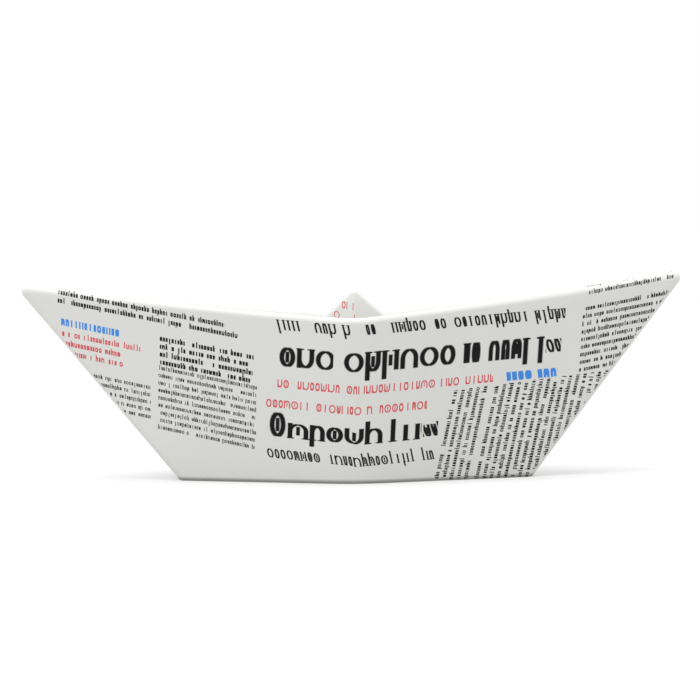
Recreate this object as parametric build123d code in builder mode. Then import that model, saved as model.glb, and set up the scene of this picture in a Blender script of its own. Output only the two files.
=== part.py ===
# A glazed ceramic boat in the form of a folded paper boat, slip cast in one piece.
#
# The frame: +X runs from the stern to the bow, +Y to the boat's far side, +Z up.
# The origin is on the ground, under the middle of the keel.
#
# Like the folded sheet that it copies, the boat is one wall, which runs from the rim down
# the side, turns at the keel, and climbs again as the four faces of the middle peak. The
# peak is hollow from underneath, and the boat stands on the narrow foot along the keel turn.

import os

from build123d import *

# --- driving dimensions, millimetres ---

keel_half_length = 90.7  # centre to the sharp keel corner, at the ground
keel_half_beam = 29.0  # centre to the sharp side fold, at the ground
bow_overhang = 74.8  # how far the sharp bow runs out past the keel corner
bow_height = 96.2  # rim height where that bow ends
stern_overhang = 76.1
stern_height = 92.9
midship_height = 73.3  # rim height at the side folds, before the bend is rounded
rim_sag = 1.5  # how far each half of the rim hangs below its chord
rim_bend_radius = 60.0  # where the two halves of the rim meet

wall = 5.0  # the hull's sides
peak_wall = 5.0
foot_width = 4.8  # from the outside to the hollow, square to the side

peak_height = 90.5  # where the peak's sharp ridges would meet
trough_floor_side = 11.0  # floor between side and peak, at the side folds
trough_floor_bow = 16.5  # the same floor at its bow end
trough_floor_stern = 13.5

side_fold_radius = 40.0  # soft upright fold in the middle of each side, outside
stem_radius = 5.0  # bow and stern edges, outside
stem_inner_radius = 3.0
rim_radius = min(2.2, 0.44 * wall, 0.45 * stem_radius)  # the wall and the stems limit it
peak_edge_radius = 2.2  # the four ridges of the peak, and its tip
valley_radius = 2.0  # where the peak meets the inside of the hull
foot_outer_radius = 1.2
foot_inner_radius = 1.0
hollow_edge_radius = 1.6

# --- construction limits: tools reach past the boat, and are cut away ---

tool_length = 3 * (keel_half_length + max(bow_overhang, stern_overhang))
tool_top = 1.3 * max(bow_height, stern_height, peak_height)
underground = 10.0  # a tool that passes through the foot starts this far below it

# For each end, +1 the bow and -1 the stern: overhang, rim height, trough floor.
ends = {
    1: (bow_overhang, bow_height, trough_floor_bow),
    -1: (stern_overhang, stern_height, trough_floor_stern),
}
sides = (-1, 1)  # near and far


def plane_through(fold_point, end_point, third_point):
    """The plane through three points, facing away from the middle of the boat."""
    outward = (end_point - fold_point).cross(third_point - fold_point)
    if outward.dot(fold_point) < 0:
        outward = -outward
    return Plane(origin=fold_point, z_dir=outward)


def hull_plane(side, end):
    """A quarter of the hull's outside, through its share of the keel line and the stem."""
    overhang, height, _ = ends[end]
    return plane_through(
        Vector(0, side * keel_half_beam, 0),
        Vector(end * keel_half_length, 0, 0),
        Vector(end * (keel_half_length + overhang), 0, height),
    )


def peak_plane(side, end):
    """A face of the peak. It starts from the trough floor, on the inside of the hull."""
    _, _, end_floor = ends[end]
    inner = hull_plane(side, end).offset(-wall)
    level = inner.z_dir.dot(inner.origin)
    fold_reach = (level - inner.z_dir.Z * trough_floor_side) / inner.z_dir.Y
    end_reach = (level - inner.z_dir.Z * end_floor) / inner.z_dir.X
    return plane_through(
        Vector(0, fold_reach, trough_floor_side),
        Vector(end_reach, 0, end_floor),
        Vector(0, 0, peak_height),
    )


hull_planes = [hull_plane(side, end) for side in sides for end in ends]
peak_planes = [peak_plane(side, end) for side in sides for end in ends]


def trimmed_block(planes, bottom):
    """A block cut down to the inner side of every plane."""
    with Locations((0, 0, bottom)):
        Box(
            tool_length,
            tool_length,
            tool_top - bottom,
            align=(Align.CENTER, Align.CENTER, Align.MIN),
        )
    for plane in planes:
        split(bisect_by=plane, keep=Keep.BOTTOM)


def folded_block(planes, bottom, fold_radius, end_radius):
    """A trimmed block with its side folds rounded first, and then its two end edges."""
    trimmed_block(planes, bottom)
    for at_sides, radius in ((True, fold_radius), (False, end_radius)):
        slanting = edges().filter_by(lambda edge: abs(edge.tangent_at(0.5).Z) > 0.2)
        groups = slanting.group_by(lambda edge: round(abs(edge.center().Y), 1))
        fillet(groups[-1] if at_sides else groups[0], radius)


with BuildPart() as outside:
    folded_block(hull_planes, 0, side_fold_radius, stem_radius)
    fillet(faces().filter_by(Axis.Z).sort_by(Axis.Z)[0].edges(), foot_outer_radius)

with BuildPart() as inside:
    inner_planes = [plane.offset(-wall) for plane in hull_planes]
    folded_block(inner_planes, 0, side_fold_radius - wall, stem_inner_radius)

# A block that is made too small by its edge radius and then grown by it has that radius
# on every edge, and a ball of that radius at its tip.

with BuildPart() as peak:
    core_planes = [plane.offset(-peak_edge_radius) for plane in peak_planes]
    trimmed_block(core_planes, -underground)
    offset(amount=peak_edge_radius, kind=Kind.ARC)

with BuildPart() as hollow:
    under_peak = [plane.offset(-peak_wall - hollow_edge_radius) for plane in peak_planes]
    inside_foot = [plane.offset(-foot_width - hollow_edge_radius) for plane in hull_planes]
    trimmed_block(under_peak + inside_foot, -underground)
    offset(amount=hollow_edge_radius, kind=Kind.ARC)

with BuildPart() as trough:
    add(inside.part)
    add(peak.part, mode=Mode.SUBTRACT)
    highest_floor = max(trough_floor_side, trough_floor_bow, trough_floor_stern)
    lowest_floor = min(trough_floor_side, trough_floor_bow, trough_floor_stern)
    floor_band = (lowest_floor - valley_radius, highest_floor + 2 * valley_radius)
    fillet(edges().filter_by_position(Axis.Z, *floor_band), valley_radius)

with BuildPart() as above_rim:
    with BuildSketch(Plane.XZ) as rim_profile:
        with BuildLine():
            stern_tip = (-keel_half_length - stern_overhang, stern_height)
            bow_tip = (keel_half_length + bow_overhang, bow_height)
            middle = (0, midship_height)
            SagittaArc(stern_tip, middle, -rim_sag)
            SagittaArc(middle, bow_tip, -rim_sag)
            Polyline(
                bow_tip,
                (tool_length / 2, bow_height),
                (tool_length / 2, tool_top),
                (-tool_length / 2, tool_top),
                (-tool_length / 2, stern_height),
                stern_tip,
            )
        make_face()
        fillet(vertices().sort_by_distance((0, midship_height))[0], rim_bend_radius)
    extrude(amount=tool_length / 2, both=True)
    add(peak.part, mode=Mode.SUBTRACT)

with BuildPart() as boat:
    add(outside.part)
    add([trough.part, hollow.part, above_rim.part], mode=Mode.SUBTRACT)
    foot = faces().filter_by(Axis.Z).sort_by(Axis.Z)[0]
    fillet(foot.inner_wires()[0].edges(), foot_inner_radius)
    upward = faces().filter_by(lambda face: face.normal_at().Z > 0.9)
    rim = upward.filter_by(lambda face: abs(face.center().X) + abs(face.center().Y) > stem_radius)
    rim = rim.filter_by_position(Axis.Z, midship_height - rim_sag - 5, tool_top)
    rim_edges = [edge for face in rim for edge in face.edges()]
    fillet([edge for edge in rim_edges if rim_edges.count(edge) == 1], rim_radius)

boat.part.label = "boat"
os.makedirs("parts", exist_ok=True)
export_step(boat.part, "parts/boat.step")
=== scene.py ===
import math

import bpy
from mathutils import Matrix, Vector


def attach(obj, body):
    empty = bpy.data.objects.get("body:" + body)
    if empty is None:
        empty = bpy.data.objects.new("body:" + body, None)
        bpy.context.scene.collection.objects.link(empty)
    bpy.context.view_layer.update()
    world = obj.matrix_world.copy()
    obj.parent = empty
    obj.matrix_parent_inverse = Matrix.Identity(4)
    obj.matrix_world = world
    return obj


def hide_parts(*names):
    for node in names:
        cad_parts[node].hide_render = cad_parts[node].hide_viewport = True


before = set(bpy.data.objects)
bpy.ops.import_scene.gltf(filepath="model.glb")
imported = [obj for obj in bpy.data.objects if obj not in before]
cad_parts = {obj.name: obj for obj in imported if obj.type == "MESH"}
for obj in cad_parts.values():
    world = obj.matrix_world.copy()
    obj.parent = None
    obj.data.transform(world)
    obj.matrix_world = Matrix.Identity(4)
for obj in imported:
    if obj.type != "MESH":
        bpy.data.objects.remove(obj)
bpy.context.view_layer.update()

# metres; the casting follows the model's own sizes
hull = {
    "keelHalfLength": 0.0921,
    "keelHalfBeam": 0.0290,
    "bowRake": 0.7677,        # how far the stem runs out for each metre that it climbs
    "sternRake": 0.8262,
    "bowHeight": 0.0968,      # the rim where the sharp stem would end
    "sternHeight": 0.0934,
    "sternBulge": 0.0012,     # how far the stern's stem bows out between keel and rim
    "middleHeight": 0.0733,   # the rim at the side folds
    "rimSag": 0.0015,
    "rimBend": 0.0040,        # how wide the rim's two halves blend
    "levelWall": 0.00517,     # the wall's thickness, measured level
    "stemRadius": 0.0050,
    "stemInnerRadius": 0.0030,
    "foldRadius": 0.0400,
    "rimRadius": 0.0023,
    "tipRadius": 0.0032,      # the rim's rounding at bow and stern
    "footWidth": 0.00496,
    "footRadius": 0.0011,
    "peakHeight": 0.0905,     # where the sharp ridges would meet
    "peakWall": 0.0050,
    "ballDrop": 3.288,        # how far a ball on the peak's axis sinks for each metre of its radius
    "ridgeRadius": 0.0022,
    "valleySide": 0.0110,     # the trough's floor at the side folds
    "valleyBow": 0.0165,
    "valleyStern": 0.0135,
    "valleyRadius": 0.0020,
    "shoulderSide": 0.0014,   # where the hollow turns from the hull's lean to the peak's
    "shoulderBow": 0.0063,
    "shoulderStern": 0.0040,
    "hollowRadius": 0.0016,
    "waviness": 0.00022,      # the casting's unevenness
}
# how the mesh is worked out from those sizes: shares, and metres in the last three
making = {
    "seam": 0.001,            # keeps the grid's rows off the borders between a quarter's stretches
    "rimPasses": 3,           # steps that find the rim's height
    "cornerLimit": 0.45,      # the most of a straight run that a rounded corner may take
    "rimInLimit": 0.36,
    "rimOutLimit": 0.62,
    "tipBlend": 0.4,          # from this share of the stem's turn, the tip's rounding gives way
    "weld": 0.00001,          # points closer than this are joined
    "calmHeight": 0.003,      # the casting is true up to here, and its unevenness starts above
    "calmBlend": 0.010,
}
waves = {"Scale": 24.0, "Detail": 1.0, "Roughness": 0.4}
quarters = 4
steps = {"stem": 7, "flank": 50, "fold": 4}  # the grid's steps in each quarter of the plan
sectionSteps = {
    "tip": 6, "face": 20, "valley": 8, "inside": 20, "rimIn": 7, "rimTop": 1, "rimOut": 8,
    "outside": 24, "footOut": 5, "foot": 1, "footIn": 5, "shoulder": 3, "hollow": 18, "hollowTop": 4,
}


def holdsVector(value):
    return isinstance(value, tuple) or getattr(value, "isVector", False)


# One output of a node. Plain sums and products of wires add the nodes that work them out
class Wire:
    def __init__(self, maker, socket):
        self.maker, self.socket = maker, socket

    def math(self, operation, *values):
        return self.maker.node("ShaderNodeMath", (self,) + values, operation=operation)

    def join(self, operation, first, second):
        vectors = [value for value in (first, second) if holdsVector(value)]
        if not vectors:
            return self.maker.node("ShaderNodeMath", (first, second), operation=operation)
        if operation == "MULTIPLY" and len(vectors) == 1:
            scale = second if vectors[0] is first else first
            values = {0: vectors[0], 3: scale}
            return self.maker.node("ShaderNodeVectorMath", values, operation="SCALE")
        return self.maker.node("ShaderNodeVectorMath", (first, second), operation=operation)

    @property
    def isVector(self):
        return self.socket.type == "VECTOR"

    def __add__(self, other):
        return self.join("ADD", self, other)

    def __radd__(self, other):
        return self.join("ADD", other, self)

    def __sub__(self, other):
        return self.join("SUBTRACT", self, other)

    def __rsub__(self, other):
        return self.join("SUBTRACT", other, self)

    def __mul__(self, other):
        return self.join("MULTIPLY", self, other)

    def __rmul__(self, other):
        return self.join("MULTIPLY", other, self)

    def __truediv__(self, other):
        return self.join("DIVIDE", self, other)

    def __rtruediv__(self, other):
        return self.join("DIVIDE", other, self)

    def __gt__(self, other):
        return self.join("GREATER_THAN", self, other)

    def __lt__(self, other):
        return self.join("LESS_THAN", self, other)

    def __abs__(self):
        return self.math("ABSOLUTE")


# Adds nodes to one tree
class Maker:
    def __init__(self, tree):
        self.tree = tree

    # settings go in first, because they change which sockets a node shows
    def node(self, kind, values=(), output=0, **settings):
        made = self.tree.nodes.new(kind)
        for name, setting in settings.items():
            setattr(made, name, setting)
        pairs = values.items() if isinstance(values, dict) else enumerate(values)
        for key, value in pairs:
            if isinstance(value, Wire):
                self.tree.links.new(value.socket, made.inputs[key])
            else:
                made.inputs[key].default_value = value
        return Wire(self, made.outputs[output])

    # a mix node has its numbers, vectors and colours in different sockets
    def mix(self, first, second, factor):
        if holdsVector(first) or holdsVector(second):
            values = {0: factor, 4: first, 5: second}
            return self.node("ShaderNodeMix", values, 1, data_type="VECTOR")
        return self.node("ShaderNodeMix", {0: factor, 2: first, 3: second}, 0, data_type="FLOAT")

    def colour(self, first, second, factor):
        first, second = [
            value if isinstance(value, Wire) else tuple(value) + (1.0,) for value in (first, second)
        ]
        return self.node("ShaderNodeMix", {0: factor, 6: first, 7: second}, 2, data_type="RGBA")

    def clamp(self, value):
        return self.node("ShaderNodeClamp", (value, 0.0, 1.0))

    def vector(self, x, y, z):
        return self.node("ShaderNodeCombineXYZ", (x, y, z))

    def split(self, vector):
        made = self.node("ShaderNodeSeparateXYZ", (vector,))
        outputs = made.socket.node.outputs
        return [Wire(self, outputs[i]) for i in range(3)]

    def unit(self, vector):
        return self.node("ShaderNodeVectorMath", (vector,), operation="NORMALIZE")

    def length(self, vector):
        return self.node("ShaderNodeVectorMath", (vector,), 1, operation="LENGTH")

    def dot(self, first, second):
        return self.node("ShaderNodeVectorMath", (first, second), 1, operation="DOT_PRODUCT")


# The casting is one section, from the peak's tip to the hollow's, carried round the plan
def castingTree(material):
    tree = bpy.data.node_groups.new("casting", "GeometryNodeTree")
    maker = Maker(tree)
    for name in hull:
        tree.interface.new_socket(name, in_out="INPUT", socket_type="NodeSocketFloat")
    tree.interface.new_socket("Geometry", in_out="OUTPUT", socket_type="NodeSocketGeometry")
    given = tree.nodes.new("NodeGroupInput")
    size = {name: Wire(maker, given.outputs[name]) for name in hull}

    around = quarters * sum(steps.values())
    along = sum(sectionSteps.values())
    grid = maker.node("GeometryNodeMeshGrid", (1.0, 1.0, around + 1, along + 1))
    place = maker.split(maker.node("GeometryNodeInputPosition"))
    turn = place[0] + 0.5
    walk = (place[1] + 0.5) * along

    # each quarter of the plan runs from 0 at a stem to 1 at a side fold
    quarter = maker.node("ShaderNodeMath", (turn * quarters, 1.0), operation="PINGPONG")
    endSign = 1 - 2 * (maker.node("ShaderNodeMath", (turn, 0.5), operation="PINGPONG") > 0.25)
    sideSign = 1 - 2 * (turn > 0.5)
    stemEnd = steps["stem"] / sum(steps.values())
    flankEnd = 1 - steps["fold"] / sum(steps.values())
    stemTurn = maker.clamp(quarter / stemEnd)
    flank = maker.clamp((quarter - stemEnd) / (flankEnd - stemEnd))
    foldTurn = maker.clamp((quarter - flankEnd) / (1 - flankEnd))
    onStem = quarter < stemEnd - making["seam"]
    atBow = endSign > 0.0
    shift = (size["bowRake"] - size["sternRake"]) * 0.5
    rake = (size["bowRake"] + size["sternRake"]) * 0.5
    endRake = maker.mix(size["sternRake"], size["bowRake"], atBow)
    slope = size["keelHalfBeam"] / size["keelHalfLength"]

    plan = slope.math("ARCTANGENT")
    sine, cosine = plan.math("SINE"), plan.math("COSINE")
    facing = stemTurn * (math.pi / 2 - plan)
    faceX, faceY = facing.math("COSINE"), facing.math("SINE")
    spread = (1 - flank) * (1 - foldTurn)  # 1 at the stem, 0 at the side fold
    lastX = size["ridgeRadius"] * sine * flank * (1 - foldTurn)

    # a quarter of a diamond at one height, with its end and its side fold rounded
    def ring(height, inset, endRadius, sideRadius, bulged=False):
        halfLength = size["keelHalfLength"] + rake * height - inset / sine
        centre = halfLength - endRadius / sine
        x = (centre + endRadius * sine) * spread + lastX
        line = (halfLength - x) * slope
        circle = (sideRadius * sideRadius - x * x).math("MAXIMUM", 0.0).math("SQRT")
        arc = halfLength * slope - sideRadius / cosine + circle
        y = maker.mix(line, arc, x < sideRadius * sine)
        x = maker.mix(x, centre + endRadius * faceX, onStem)
        y = maker.mix(y, endRadius * faceY, onStem)
        if bulged:
            climb = height / size["sternHeight"]
            bulge = size["sternBulge"] * 4 * climb * (1 - climb)
            x = x + bulge * (x / halfLength) * (1 - atBow)
        return maker.vector(endSign * x + shift * height, sideSign * y, height)

    # the rim climbs as the hull flares, so its height is found by steps. Here and above,
    # 4 * share * (1 - share) is 0 at both ends and 1 halfway
    def rimRing(base, inset, endRadius, sideRadius, bulged=False):
        endHeight = maker.mix(size["sternHeight"], size["bowHeight"], atBow)
        reach = size["keelHalfLength"] + endRake * endHeight
        outward = maker.mix(spread, 1.0, onStem) * rake + endSign * shift
        height = size["middleHeight"]
        for _ in range(making["rimPasses"]):
            x = abs(maker.split(base)[0]) + outward * height
            blended = (x * x + size["rimBend"] * size["rimBend"]).math("SQRT")
            share = (blended - size["rimBend"] * 0.5) / reach
            sag = size["rimSag"] * 4 * share * (1 - share)
            height = size["middleHeight"] + (endHeight - size["middleHeight"]) * share - sag
        return ring(height, inset, endRadius, sideRadius, bulged)

    # the trough's floor lies where the peak meets the inside of the hull
    endFloor = maker.mix(size["valleyStern"], size["valleyBow"], atBow)
    insideReach = size["keelHalfLength"] - size["levelWall"] / sine
    floorLength = insideReach + endRake * endFloor
    floorBeam = (insideReach + rake * size["valleySide"]) * slope
    peakRise = size["peakHeight"] - size["valleySide"]
    innerFold = size["foldRadius"] - size["levelWall"]
    inner = (size["levelWall"], size["stemInnerRadius"], innerFold)

    def valleyRing():
        x, y, height = maker.split(ring(size["valleySide"], *inner))
        fullLength = insideReach + rake * height
        # the soft fold stands in from a sharp one by this much
        short = (fullLength - abs(x - shift * height)) * slope - abs(y)
        rise = short * (1 - onStem) / (rake * slope + floorBeam / peakRise)
        height = size["valleySide"] + (endFloor - size["valleySide"]) * abs(x) / floorLength + rise
        return ring(height, *inner)

    # the peak's four ridges and the hollow's end in a ball; flat faces touch it at one point each
    endLean = (size["peakHeight"] - endFloor) / floorLength
    sideLean = peakRise / floorBeam
    towardEnd = maker.unit(maker.vector(endSign * endLean, 0.0, 1.0))
    towardSide = maker.unit(maker.vector(0.0, sideSign * sideLean, 1.0))
    towardFace = maker.unit(maker.vector(endSign * endLean, sideSign * sideLean, 1.0))
    towardFlank = maker.mix(towardFace, towardSide, foldTurn)
    towardStem = maker.mix(towardEnd, towardFace, stemTurn)
    normal = maker.mix(towardFlank, towardStem, onStem)

    def ball(depth, radius, share):
        centre = maker.vector(0.0, 0.0, size["peakHeight"] - (depth + radius) * size["ballDrop"])
        return centre + maker.unit(maker.mix(normal, (0.0, 0.0, 1.0), share)) * radius

    # the section's sharp corners, all the way round the plan
    footOut = ring(0.0, 0.0, size["stemRadius"], size["foldRadius"])
    rimOut = rimRing(footOut, 0.0, size["stemRadius"], size["foldRadius"], True)
    rimIn = rimRing(ring(0.0, *inner), *inner)
    footIn = ring(0.0, size["footWidth"], size["hollowRadius"], size["hollowRadius"])
    valley = valleyRing()
    crown = ball(0.0, size["ridgeRadius"], 0.0)
    shoulderEnd = maker.mix(size["shoulderStern"], size["shoulderBow"], atBow)
    footX = maker.split(footIn)[0]
    shoulderLift = (shoulderEnd - size["shoulderSide"]) * abs(footX) / insideReach
    shoulderHeight = size["shoulderSide"] + shoulderLift
    shoulder = ring(shoulderHeight, size["footWidth"], size["hollowRadius"], size["hollowRadius"])
    hollowRing = ball(size["peakWall"], size["hollowRadius"], 0.0)

    def run(start, end):
        return lambda share: maker.mix(start, end, share)

    # a rounded corner: where it starts and ends, and the curve between. Lines that cross the
    # edge askew are measured square to it
    def rounded(before, corner, after, radius, edge, limit=making["cornerLimit"]):
        toBefore, toAfter = maker.unit(before - corner), maker.unit(after - corner)
        squareBefore = toBefore - edge * maker.dot(toBefore, edge)
        squareAfter = toAfter - edge * maker.dot(toAfter, edge)
        closeness = maker.dot(maker.unit(squareBefore), maker.unit(squareAfter))
        reach = radius * ((1 + closeness) / (1 - closeness)).math("SQRT")
        roomBefore = maker.length(before - corner) * limit
        roomAfter = maker.length(after - corner) * limit
        reachBefore = (reach / maker.length(squareBefore)).math("MINIMUM", roomBefore)
        reachAfter = (reach / maker.length(squareAfter)).math("MINIMUM", roomAfter)
        start, end = corner + toBefore * reachBefore, corner + toAfter * reachAfter
        weight = ((1 - closeness) * 0.5).math("SQRT")

        def at(share):
            left, right = (1 - share) * (1 - share), share * share
            middle = 2 * weight * share * (1 - share)
            return (start * left + corner * middle + end * right) * (1 / (left + middle + right))
        return start, end, at

    edge = maker.vector(endSign * faceY * -1.0, sideSign * faceX, 0.0)
    flatEdge = maker.vector(endSign * cosine * -1.0, sideSign * sine, 0.0)
    awayFromTip = maker.clamp(quarter / stemEnd - making["tipBlend"])
    rimRadius = maker.mix(size["tipRadius"], size["rimRadius"], awayFromTip)
    valleyUp, valleyOut, valleyBend = rounded(crown, valley, rimIn, size["valleyRadius"], flatEdge)
    rimInLow, rimInTop, rimInBend = rounded(
        valley, rimIn, rimOut, size["rimRadius"], edge, making["rimInLimit"],
    )
    rimOutTop, rimOutLow, rimOutBend = rounded(
        rimIn, rimOut, footOut, rimRadius, edge, making["rimOutLimit"],
    )
    footHigh, footFlat, footOutBend = rounded(rimOut, footOut, footIn, size["footRadius"], edge)
    innerFlat, _, footInBend = rounded(footOut, footIn, shoulder, size["footRadius"], edge)
    _, shoulderHigh, shoulderBend = rounded(
        footIn, shoulder, hollowRing, size["hollowRadius"], flatEdge,
    )
    parts = {
        "tip": lambda share: ball(0.0, size["ridgeRadius"], 1 - share),
        "face": run(crown, valleyUp),
        "valley": valleyBend,
        "inside": run(valleyOut, rimInLow),
        "rimIn": rimInBend,
        "rimTop": run(rimInTop, rimOutTop),
        "rimOut": rimOutBend,
        "outside": run(rimOutLow, footHigh),
        "footOut": footOutBend,
        "foot": run(footFlat, innerFlat),
        "footIn": footInBend,
        "shoulder": shoulderBend,
        "hollow": run(shoulderHigh, hollowRing),
        "hollowTop": lambda share: ball(size["peakWall"], size["hollowRadius"], share),
    }
    position, band, start = None, None, 0
    for number, (name, count) in enumerate(sectionSteps.items()):
        found = parts[name](maker.clamp((walk - start) / count))
        here = walk > start
        position = found if position is None else maker.mix(position, found, here)
        band = number * 1.0 if band is None else maker.mix(band, number, here)
        start += count

    banded = maker.node(
        "GeometryNodeStoreNamedAttribute",
        {"Geometry": grid, "Name": "band", "Value": band},
        data_type="INT", domain="FACE",
    )
    shaped = maker.node("GeometryNodeSetPosition", {"Geometry": banded, "Position": position})
    welding = {"Geometry": shaped, "Distance": making["weld"]}
    closed = maker.node("GeometryNodeMergeByDistance", welding)
    noise = maker.node("ShaderNodeTexNoise", waves, noise_dimensions="3D")
    height = maker.split(maker.node("GeometryNodeInputPosition"))[2]
    calm = maker.clamp((height - making["calmHeight"]) / making["calmBlend"])
    amount = (noise - 0.5) * size["waviness"] * calm
    wavy = maker.node(
        "GeometryNodeSetPosition",
        {"Geometry": closed, "Offset": maker.node("GeometryNodeInputNormal") * (amount * -1.0)},
    )
    turned = maker.node("GeometryNodeFlipFaces", {"Mesh": wavy})
    mapped = maker.node(
        "GeometryNodeStoreNamedAttribute",
        {"Geometry": turned, "Name": "sheet", "Value": sheetPlace(maker)},
        data_type="FLOAT2", domain="CORNER",
    )
    smooth = maker.node("GeometryNodeSetShadeSmooth", {"Geometry": mapped, "Shade Smooth": True})
    real = maker.node("GeometryNodeRealizeInstances", {"Geometry": smooth})
    glazed = maker.node("GeometryNodeSetMaterial", {"Geometry": real, "Material": material})
    out = tree.nodes.new("NodeGroupOutput")
    tree.links.new(glazed.socket, out.inputs[0])
    return tree


# The printed sheet, laid flat: both outsides, both insides and both slopes of the peak have a
# strip of it each, one above another
near, far, nearInside, farInside, nearPeak, farPeak, unprinted = range(7)
sheet = {
    "widen": 1.0471,     # a folded side is longer than its own shadow on the floor
    "stretch": 1.0321,
    "crease": 0.157,     # how the lines of print bend at the side fold
    "lean": 2.8,         # degrees between the print and the keel
    "strip": 0.2,        # from one surface's strip of the sheet to the next
    "endFace": 0.52,     # faces that look further along the boat than this stay plain
}


def perFace(maker, value):
    return maker.node("GeometryNodeFieldOnDomain", (value,), data_type="FLOAT", domain="FACE")


def sheetPlace(maker):
    x, y, z = maker.split(maker.node("GeometryNodeInputPosition"))
    normalX, normalY, _ = maker.split(maker.node("GeometryNodeInputNormal"))
    farSide = perFace(maker, y) > 0.0
    mirrored = perFace(maker, normalY) > 0.0
    endOn = perFace(maker, abs(normalX)) > sheet["endFace"]
    band = maker.node("GeometryNodeInputNamedAttribute", {"Name": "band"}, data_type="INT")

    def fromPart(first):
        return band > list(sectionSteps).index(first) - 0.5

    outside = fromPart("rimOut") * (1 - fromPart("foot"))
    inValley = fromPart("valley") * (1 - fromPart("inside"))
    onRim = fromPart("rimIn") * (1 - fromPart("rimOut"))
    plain = maker.clamp(fromPart("foot") + inValley + onRim + endOn)
    across = x * sheet["widen"]
    up = z * sheet["stretch"] - abs(x) * sheet["crease"]
    lean = math.radians(sheet["lean"])
    level = across * math.sin(lean) + up * math.cos(lean)
    along = across * math.cos(lean) - up * math.sin(lean)
    indoors = maker.mix(nearInside, nearPeak, 1 - fromPart("valley"))
    strip = maker.mix(indoors, near, outside) + farSide
    strip = maker.mix(strip, unprinted, plain)
    along = maker.mix(along, along * -1.0, mirrored)
    return maker.vector(along, level + strip * sheet["strip"], 0.0)


# the tree runs once, on an empty seed, and the mesh that comes out is the piece
def makeBoat(material):
    tree = castingTree(material)
    seed = bpy.data.objects.new("castingSeed", bpy.data.meshes.new("castingSeed"))
    bpy.context.collection.objects.link(seed)
    modifier = seed.modifiers.new("casting", "NODES")
    modifier.node_group = tree
    for item in tree.interface.items_tree:
        if item.in_out == "INPUT":
            modifier[item.identifier] = hull[item.name]
    evaluated = seed.evaluated_get(bpy.context.evaluated_depsgraph_get())
    mesh = bpy.data.meshes.new_from_object(evaluated)
    seed.modifiers.remove(modifier)
    bpy.data.objects.remove(seed)
    mesh.name = "boatShell"
    piece = bpy.data.objects.new("boatShell", mesh)
    bpy.context.collection.objects.link(piece)
    return piece


# The printed glaze: rows of plain marks that stand for print, in millimetres on the sheet
inks = {"black": (0.003, 0.003, 0.004), "red": (0.53, 0.070, 0.080), "blue": (0.045, 0.215, 0.60)}
flat, bent, rising, upright = "flat", "bent", "rising", "upright"
millimetres = 1000.0  # in a metre
runs = {
    "foldBack": 3.0,          # bent lines fall away to both sides of a place this far astern
    "sternFall": 0.11,        # for each millimetre along
    "bowFall": 0.035,
    "risingFrom": 104.0,
    "rise": 0.07,
    "uprightTurn": 80.0,      # degrees between upright lines and the flat ones
    "uprightLow": -30.0,      # upright lines are cut off level, below and above
    "uprightHigh": 37.5,
}
# in heights of a small mark, unless said otherwise; draws lie between 0 and 1
marks = {
    "largeWidth": 3.3,        # a word set wider than this fills its block, with no gap in it
    "boldHeights": (1.7, 2.2),  # black marks of these heights have no feet, and colours never do
    "gapShare": 0.13,         # how many places stay empty
    "variety": 0.6,           # how far the two marks of a pair may differ in width
    "largeVariety": 0.3,
    "side": 0.035,            # bare width beside a mark, and once more beside a small one
    "ring": 0.34,             # draws up to here give a ring, the next ones an arch, and so on
    "arch": 0.62,
    "cup": 0.76,
    "bars": 0.86,             # the draws above this give a single bar
    "largeKinds": 0.88,       # large words' draws are scaled down, so that few are single bars
    "heldFrom": 0.6,         # hollow marks whose draw is above this hold a short bar
    "heldLow": 0.22,
    "heldHigh": 0.78,
    "heldThin": 0.2,          # in strokes, how much finer the held bar is
    "thinTops": 0.6,          # in strokes, how much finer the tops of footed marks are
    "roundInset": 0.6,        # in strokes, how far a ring's middle line lies inside its height
    "soft": 0.05,             # how wide the edge of the ink is
    "halfHeight": 0.54,       # how far the ink reaches above and below a mark's middle
    "ascender": 0.45,
    "ascenderFrom": 0.66,     # posts whose draw is above this reach up
    "descender": 0.42,
    "descenderUpTo": 0.12,
    "levelColour": 3.0,       # coloured marks taller than this all keep to one height
    "levelBlack": 10.0,
    "footSpread": 1.8,        # in strokes
    "footMiddle": 0.03,
    "footHalf": 0.035,
    "noEnd": 1e4,             # millimetres, beyond every line
    "seedStep": 3.7,          # keeps one block's draws apart from the next one's
    "kindDraw": 17.0,         # and the draws for different things in a row apart
    "gapDraw": 41.0,
    "endDraw": 5.0,
}

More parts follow.
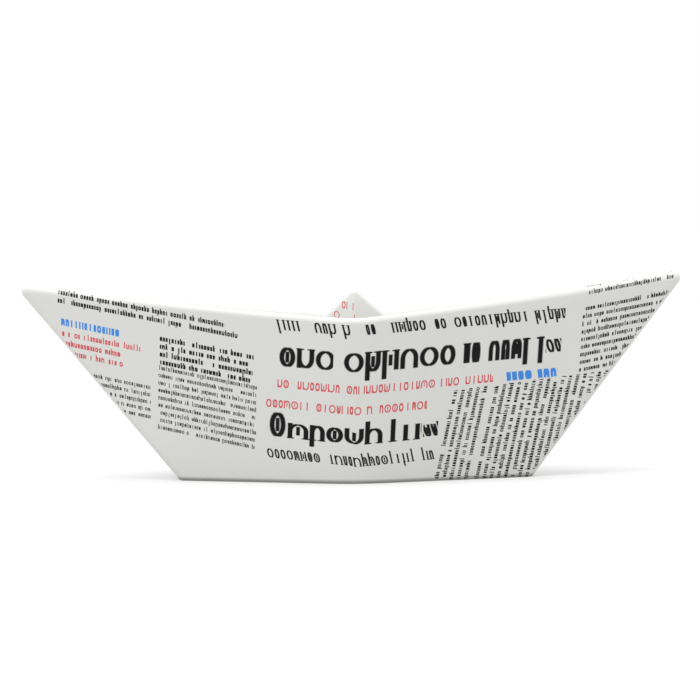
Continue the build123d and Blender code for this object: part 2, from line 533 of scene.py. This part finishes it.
# surface, run of the lines, left, right, middle of the first line, pitch, rows,
# height of a small mark, its width, stroke, slant, ink, upside down, ragged by
blocks = [
    (near, flat, -143, -55, 61.2, 3.9, 2, 1.85, 1.27, 0.14, 0.0, "black", False, 9),
    (near, flat, -141.5, -113, 47.6, 5.0, 1, 3.2, 2.2, 0.115, 0.0, "blue", False, 0),
    (near, flat, -141, -102, 42.1, 4.45, 3, 2.1, 1.5, 0.12, 0.0, "red", False, 16),
    (near, flat, -129, -97.5, 25.0, 3.5, 5, 1.55, 1.15, 0.115, 0.0, "black", False, 0),
    (near, flat, -93.5, -47.5, 49.0, 3.67, 4, 1.9, 1.4, 0.165, 0.0, "black", False, 4),
    (near, flat, -94, -47, 35.2, 3.52, 9, 1.55, 1.15, 0.11, 0.0, "black", False, 1),
    (near, bent, -41, 95.5, 70.2, 8.0, 1, 4.5, 3.2, 0.10, 0.28, "black", True, 0),
    (near, bent, -37.5, -12.5, 55.7, 19.0, 1, 8.9, 8.33, 0.13, 0.0, "black", True, 0),
    (near, bent, -8.0, 44.2, 55.7, 19.0, 1, 8.9, 8.7, 0.13, 0.0, "black", True, 0),
    (near, bent, 47.4, 56.0, 55.7, 19.0, 1, 8.9, 4.3, 0.12, 0.0, "black", True, 0),
    (near, bent, 59.2, 75.4, 55.7, 19.0, 1, 8.9, 5.4, 0.12, 0.0, "black", True, 0),
    (near, bent, 75.6, 86.2, 54.2, 16.0, 1, 12.0, 10.6, 0.10, 0.0, "black", True, 0),
    (near, bent, 87.0, 94.4, 55.7, 8.0, 1, 6.0, 3.7, 0.11, 0.35, "black", True, 0),
    (near, bent, -38, 62.5, 43.2, 6.0, 1, 3.6, 2.9, 0.075, 0.0, "red", True, 0),
    (near, bent, 65, 93.5, 43.2, 6.0, 1, 4.0, 3.1, 0.155, 0.15, "blue", True, 0),
    (near, bent, -43, 31.5, 33.7, 6.0, 1, 3.6, 2.9, 0.075, 0.0, "red", False, 0),
    (near, bent, -41.3, -32.9, 24.0, 12.4, 1, 11.2, 8.4, 0.105, 0.0, "black", False, 0),
    (near, bent, -32.7, 29.6, 21.8, 15.0, 1, 7.2, 8.9, 0.16, 0.0, "black", False, 0),
    (near, bent, 30.3, 37.3, 21.8, 8.0, 1, 5.5, 3.5, 0.12, 0.35, "black", False, 0),
    (near, bent, -42, 36.5, 10.2, 8.0, 1, 4.2, 3.15, 0.093, 0.25, "black", False, 0),
    (near, rising, 104, 148, 78.3, 3.53, 2, 1.55, 1.15, 0.115, 0.0, "black", False, 0),
    (near, rising, 104, 150, 67.5, 3.53, 9, 1.55, 1.15, 0.14, 0.0, "black", False, 2),
    (near, upright, 36, 53.5, 36.5, 3.5, 5, 1.6, 1.15, 0.13, 0.0, "black", False, 0),
    (near, upright, 55.5, 125, 36.5, 3.5, 19, 1.6, 1.15, 0.135, 0.0, "black", False, 0),
    (far, flat, -60, -7.5, 57.0, 16.0, 1, 7.6, 7.5, 0.135, 0.0, "black", False, 0),
    (far, flat, -2.5, 27.5, 57.0, 16.0, 1, 7.6, 7.5, 0.135, 0.0, "black", False, 0),
    (far, flat, 32.0, 66.0, 57.0, 16.0, 1, 7.6, 6.8, 0.13, 0.0, "black", False, 0),
    (far, flat, -58, 60, 45.0, 7.0, 1, 4.2, 3.1, 0.085, 0.25, "black", False, 0),
    (far, flat, -134, -92, 62.0, 3.55, 13, 1.55, 1.15, 0.125, 0.0, "black", False, 1),
    (far, flat, -86, -64, 66.0, 5.0, 1, 3.2, 2.3, 0.19, 0.0, "blue", False, 0),
    (far, flat, -88, -46, 36.0, 3.55, 10, 1.55, 1.15, 0.125, 0.0, "black", False, 1),
    (far, flat, -41, 1, 36.0, 3.55, 10, 1.55, 1.15, 0.125, 0.0, "black", False, 1),
    (far, flat, 6, 48, 36.0, 3.55, 10, 1.55, 1.15, 0.125, 0.0, "black", False, 1),
    (far, flat, 53, 92, 36.0, 4.45, 3, 2.1, 1.5, 0.13, 0.0, "red", False, 12),
    (far, flat, 53, 95, 20.5, 3.55, 6, 1.55, 1.15, 0.125, 0.0, "black", False, 1),
    (far, flat, 78, 140, 68.0, 3.9, 2, 1.9, 1.3, 0.18, 0.0, "black", False, 9),
    (nearInside, flat, -120, -66, 62.0, 3.55, 14, 1.55, 1.15, 0.125, 0.0, "black", False, 1),
    (nearInside, flat, -60, -10, 62.0, 13.0, 1, 6.8, 6.25, 0.13, 0.0, "black", False, 0),
    (nearInside, flat, -5, 50, 62.0, 13.0, 1, 6.8, 6.9, 0.135, 0.0, "black", False, 0),
    (nearInside, flat, 56, 112, 62.0, 3.55, 14, 1.55, 1.15, 0.125, 0.0, "black", False, 1),
    (nearInside, flat, -60, -6, 49.0, 3.55, 9, 1.55, 1.15, 0.125, 0.0, "black", False, 1),
    (nearInside, flat, 0, 50, 49.0, 4.45, 7, 2.1, 1.5, 0.13, 0.0, "red", False, 9),
    (farInside, flat, -120, -70, 66.0, 3.55, 14, 1.55, 1.15, 0.125, 0.0, "black", False, 1),
    (farInside, flat, -64, -14, 64.0, 3.55, 14, 1.55, 1.15, 0.125, 0.0, "black", False, 1),
    (farInside, flat, -8, 30, 64.0, 13.0, 1, 6.8, 6.33, 0.13, 0.0, "black", False, 0),
    (farInside, flat, 35, 75, 64.0, 13.0, 1, 6.8, 6.66, 0.135, 0.0, "black", False, 0),
    (farInside, flat, 80, 120, 64.0, 13.0, 1, 6.8, 6.66, 0.13, 0.0, "black", False, 0),
    (farInside, flat, -8, 50, 51.0, 6.0, 1, 3.6, 2.9, 0.08, 0.0, "red", False, 0),
    (farInside, flat, -8, 46, 43.0, 3.55, 8, 1.55, 1.15, 0.125, 0.0, "black", False, 1),
    (farInside, flat, 52, 106, 51.0, 3.55, 10, 1.55, 1.15, 0.125, 0.0, "black", False, 1),
    (nearPeak, flat, -60, -3.5, 80.5, 5.2, 3, 3.2, 2.9, 0.06, 0.0, "red", False, 0),
    (nearPeak, flat, 6.5, 60, 79.5, 5.2, 3, 3.2, 2.9, 0.06, 0.0, "red", True, 0),
    (nearPeak, flat, -60, 60, 62.0, 3.55, 9, 1.55, 1.15, 0.125, 0.0, "black", False, 1),
    (farPeak, flat, -60, 60, 80.0, 5.2, 2, 3.4, 2.9, 0.08, 0.0, "red", False, 0),
    (farPeak, flat, -60, 60, 66.0, 3.55, 10, 1.55, 1.15, 0.125, 0.0, "black", False, 1),
]


def within(value, low, high):
    return abs(value - (low + high) / 2) < (high - low) / 2


def chance(maker, a, b, c, output=1):
    draws = {"Vector": maker.vector(a, b, c)}
    return maker.node("ShaderNodeTexWhiteNoise", draws, output, noise_dimensions="3D")


def serifless(ink, height):
    low, high = marks["boldHeights"]
    return ink != "black" or low < height < high


# each run of lines: the place along a line, and the height that stays the same all along it
def lineRuns(maker, across, level):
    fold = across + runs["foldBack"]
    sternward = fold.math("MINIMUM", 0.0) * -runs["sternFall"]
    fall = sternward + fold.math("MAXIMUM", 0.0) * runs["bowFall"]
    turn = math.radians(runs["uprightTurn"])
    return {
        flat: (across, level),
        bent: (across, level + fall),
        rising: (across, level - (across - runs["risingFrom"]) * runs["rise"]),
        upright: (
            across * math.cos(turn) + level * math.sin(turn),
            (across * math.sin(turn) - level * math.cos(turn)) * -1.0,
        ),
    }


# what every block says, gathered into vectors of three values that hold inside it
def blockValues(maker, lines, level):
    shape = style = edge = extent = start = maker.vector(0.0, 0.0, 0.0)
    inside, chosen = 0.0, {run: 0.0 for run in lines}
    for number, block in enumerate(blocks):
        surface, run, left, right, first, pitch, rows, height, width = block[:9]
        stroke, slant, ink, flipped, ragged = block[9:]
        along, up = lines[run]
        if run == upright:
            mask = within(level, runs["uprightLow"], runs["uprightHigh"])
            mask = within(up, -right, -left) * mask
            top, lineEnd = -left, marks["noEnd"]
        else:
            top = surface * sheet["strip"] * millimetres + first + pitch / 2
            mask = within(up, top - rows * pitch, top) * within(along, left, right)
            lineEnd = float(right)
        large = width > marks["largeWidth"]
        variety = marks["largeVariety"] if large else marks["variety"]
        gapShare = 0.0 if large else marks["gapShare"]
        serif = 0.0 if serifless(ink, height) else 1.0
        inkNumber = float(list(inks).index(ink))
        chosen[run] = mask + chosen[run]
        shape = maker.mix(shape, (pitch, height, width), mask)
        style = maker.mix(style, (stroke, slant, -1.0 if flipped else 1.0), mask)
        edge = maker.mix(edge, (top, inkNumber, number * marks["seedStep"]), mask)
        extent = maker.mix(extent, (lineEnd, float(ragged), variety), mask)
        start = maker.mix(start, (float(left), gapShare, serif), mask)
        inside = mask + inside
    return inside, chosen, (shape, style, edge, extent, start)


def typeMarks(maker, place):
    across, level, _ = maker.split(place)
    lines = lineRuns(maker, across, level)
    inside, chosen, values = blockValues(maker, lines, level)
    along, up = lines[flat]
    for run in (bent, rising, upright):
        along = maker.mix(along, lines[run][0], chosen[run])
        up = maker.mix(up, lines[run][1], chosen[run])
    shape, style, edge, extent, start = values
    pitch, height, width = maker.split(shape)
    stroke, slant, way = maker.split(style)
    top, ink, seed = maker.split(edge)
    right, ragged, variety = maker.split(extent)
    left, gapShare, serif = maker.split(start)
    small = gapShare > marks["gapShare"] / 2

    # the row, the height in it, 0 at a small mark's foot and 1 at its top, and the place in the
    # row. Places come in pairs that share their width unevenly
    rowPlace = (top - up) / pitch
    line = rowPlace.math("FLOOR")
    tall = (0.5 - (rowPlace - line)) * pitch / height * way + 0.5
    sidling = (along - left + slant * (tall - 0.5) * height * way) / width
    pair = (sidling / 2).math("FLOOR")
    share = sidling - pair * 2
    border = (maker.split(chance(maker, pair, line, seed))[0] - 0.5) * variety + 1.0
    second = share > border
    breadth = maker.mix(border, 2 - border, second)
    middle = (maker.mix(share, share - border, second) / breadth - 0.5) * breadth * width / height
    bareSide = marks["side"] + marks["side"] * small
    half = breadth * width / height * 0.5 - bareSide - stroke
    cell = pair * 2 + second
    kind, variant, reach = maker.split(chance(maker, cell, line + marks["kindDraw"], seed))
    kind = kind * (marks["largeKinds"] + (1 - marks["largeKinds"]) * small)
    gap = chance(maker, cell, line + marks["gapDraw"], seed, 0)
    isRing = kind < marks["ring"]
    isArch = within(kind, marks["ring"], marks["arch"])
    isCup = within(kind, marks["arch"], marks["cup"])
    isBar = kind > marks["bars"]

    # the simple shapes: a ring, an arch, a cup, a pair of bars, and a bar that may reach above
    # or below. Some of the hollow ones hold a short bar
    rise = (tall - 0.5) / (0.5 - stroke * marks["roundInset"])
    away = maker.length(maker.vector(middle / half, rise, 0.0))
    thin = (1 - abs(middle / half) / away) * serif * marks["thinTops"] * stroke
    ring = abs(away - 1) * half + thin
    twoBars = abs(abs(middle) - half)
    isRound = maker.clamp(isRing + isArch * (tall > 0.5) + isCup * (tall < 0.5))
    body = maker.mix(twoBars, ring, isRound)
    body = maker.mix(body, abs(middle), isBar)
    inHollow = within(tall, marks["heldLow"], marks["heldHigh"])
    notHeld = (variant < marks["heldFrom"]) + (1 - inHollow)
    held = abs(middle) + stroke * marks["heldThin"] + notHeld
    core = maker.clamp((stroke - body.math("MINIMUM", held)) / marks["soft"] + 0.5)
    core = core * maker.clamp((marks["halfHeight"] - abs(tall - 0.5)) / marks["soft"])

    # posts, which may reach past the row's marks, and their feet
    hasPosts = (kind > marks["ring"]) * (1 - isCup)
    leftPost = maker.mix(middle + half, middle, isBar)
    allLevel = (ink > 0.5) * (height > marks["levelColour"]) + (height > marks["levelBlack"])
    mayReach = 1 - maker.clamp(allLevel)
    highest = 1.0 + marks["ascender"] * (reach > marks["ascenderFrom"]) * mayReach
    lowest = -marks["descender"] * (reach < marks["descenderUpTo"]) * mayReach
    post = maker.clamp((stroke - abs(leftPost)) / marks["soft"] + 0.5)
    post = post * (tall < highest) * (tall > lowest) * hasPosts
    nearPost = maker.mix(twoBars, abs(middle), isBar) < stroke * marks["footSpread"]
    atFoot = abs(tall - marks["footMiddle"]) < marks["footHalf"]
    foot = hasPosts * serif * nearPost * atFoot
    mark = core.math("MAXIMUM", post).math("MAXIMUM", foot)
    beforeEnd = along < right - ragged * chance(maker, line, seed, marks["endDraw"], 0)
    return mark * (gap > gapShare) * beforeEnd * maker.clamp(inside), ink


glaze = {
    "paper": (0.602, 0.605, 0.580),
    "roughness": 0.2,
    "specular": 0.07,
    "coat": 0.05,
    "coatRoughness": 0.04,
    "inkCover": 0.997,        # how much of the paper the ink hides
    "cloudTone": 0.955,       # the paper's darker clouds
    "cloudScale": 60.0,
    "cloudDetail": 3.0,
    "contactShadeTone": 0.42,         # painted contact shade: the glaze's colour darkened along the foot, where the hull meets the table
    "contactShadeTint": (1.0, 0.97, 0.92),
    "contactShadeHeight": 0.0009,
    "contactShadeBlend": 0.0012,
}


def makeGlaze():
    material = bpy.data.materials.new("printedGlaze")
    material.use_nodes = True
    maker = Maker(material.node_tree)
    shader = material.node_tree.nodes["Principled BSDF"]
    uv = maker.node("ShaderNodeUVMap", uv_map="sheet")
    amount, ink = typeMarks(maker, uv * millimetres)
    colour = maker.colour(inks["black"], inks["red"], maker.clamp(ink))
    colour = maker.colour(colour, inks["blue"], maker.clamp(ink - 1))
    place = maker.node("ShaderNodeTexCoord", output=3)  # the object's own coordinates
    clouds = maker.node(
        "ShaderNodeTexNoise",
        {"Vector": place, "Scale": glaze["cloudScale"], "Detail": glaze["cloudDetail"]},
        noise_dimensions="3D",
    )
    dark = tuple(glaze["cloudTone"] * tone for tone in glaze["paper"])
    paper = maker.colour(dark, glaze["paper"], clouds)
    # painted contact shade: in a thin band along the bottom edge the colour darkens to a warm grey,
    # standing in for shadow where the hull meets the table
    height = maker.split(place)[2]
    tones = zip(glaze["paper"], glaze["contactShadeTint"])
    contactShade = tuple(glaze["contactShadeTone"] * tone * tint for tone, tint in tones)
    glazed = maker.clamp((height - glaze["contactShadeHeight"]) / glaze["contactShadeBlend"])
    paper = maker.colour(contactShade, paper, glazed)
    final = maker.colour(paper, colour, amount * glaze["inkCover"])
    maker.tree.links.new(final.socket, shader.inputs["Base Color"])
    shader.inputs["Roughness"].default_value = glaze["roughness"]
    shader.inputs["Specular IOR Level"].default_value = glaze["specular"]
    shader.inputs["Coat Weight"].default_value = glaze["coat"]
    shader.inputs["Coat Roughness"].default_value = glaze["coatRoughness"]
    print("printed glaze:", len(blocks), "blocks of marks,", len(inks), "inks")
    return material


boatShell = makeBoat(makeGlaze())
mesh = boatShell.data
print("casting:", len(mesh.vertices), "vertices", len(mesh.polygons), "faces")
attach(boatShell, "root")
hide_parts("boat")


view = {
    "sensor": 36.0,      # millimetres, as is the lens
    "lens": 95.9863,
    "place": (-0.0018, -0.850, 0.0854),
    "dip": 0.0317,       # radians below level
    "roll": 0.0112,
}


def addCamera():
    camera = bpy.data.objects.new("camera", bpy.data.cameras.new("camera"))
    bpy.context.collection.objects.link(camera)
    camera.data.sensor_width = view["sensor"]
    camera.data.lens = view["lens"]
    camera.location = view["place"]
    camera.rotation_euler = (math.pi / 2 - view["dip"], view["roll"], 0.0)
    bpy.context.scene.camera = camera


lightTable = {"reach": 6.0, "tone": 0.42, "glow": 0.36, "roughness": 0.9}


def addLightTable():
    reach, tone = lightTable["reach"], lightTable["tone"]
    mesh = bpy.data.meshes.new("floor")
    corners = [(-reach, -reach, 0), (reach, -reach, 0), (reach, reach, 0), (-reach, reach, 0)]
    mesh.from_pydata(corners, [], [(0, 1, 2, 3)])
    floor = bpy.data.objects.new("floor", mesh)
    bpy.context.collection.objects.link(floor)
    paper = bpy.data.materials.new("floorPaper")
    paper.use_nodes = True
    shader = paper.node_tree.nodes["Principled BSDF"]
    shader.inputs["Base Color"].default_value = (tone, tone, tone, 1)
    shader.inputs["Emission Color"].default_value = (1, 1, 1, 1)
    shader.inputs["Emission Strength"].default_value = lightTable["glow"]
    shader.inputs["Roughness"].default_value = lightTable["roughness"]
    mesh.materials.append(paper)


studio = {
    "world": 1.0,
    # each lamp's direction as it falls, its strength, how wide it looks in degrees
    "lamps": {
        "overhead": ((0.06, 0.20, -1.0), 2.0, 40.0),
        "key": ((0.55, 0.50, -1.0), 0.65, 9.0),
    },
}


def addLights():
    scene = bpy.context.scene
    scene.view_settings.view_transform = "Standard"
    world = bpy.data.worlds.new("studio")
    scene.world = world
    world.use_nodes = True
    world.node_tree.nodes["Background"].inputs["Color"].default_value = (1, 1, 1, 1)
    world.node_tree.nodes["Background"].inputs["Strength"].default_value = studio["world"]
    for name, (fall, strength, width) in studio["lamps"].items():
        lamp = bpy.data.lights.new(name, "SUN")
        lamp.energy, lamp.angle = strength, math.radians(width)
        holder = bpy.data.objects.new(name, lamp)
        holder.rotation_euler = Vector(fall).to_track_quat("-Z", "Y").to_euler()
        bpy.context.collection.objects.link(holder)


addCamera()
addLightTable()
addLights()
print("studio: camera, light table and", len(studio["lamps"]), "lamps")
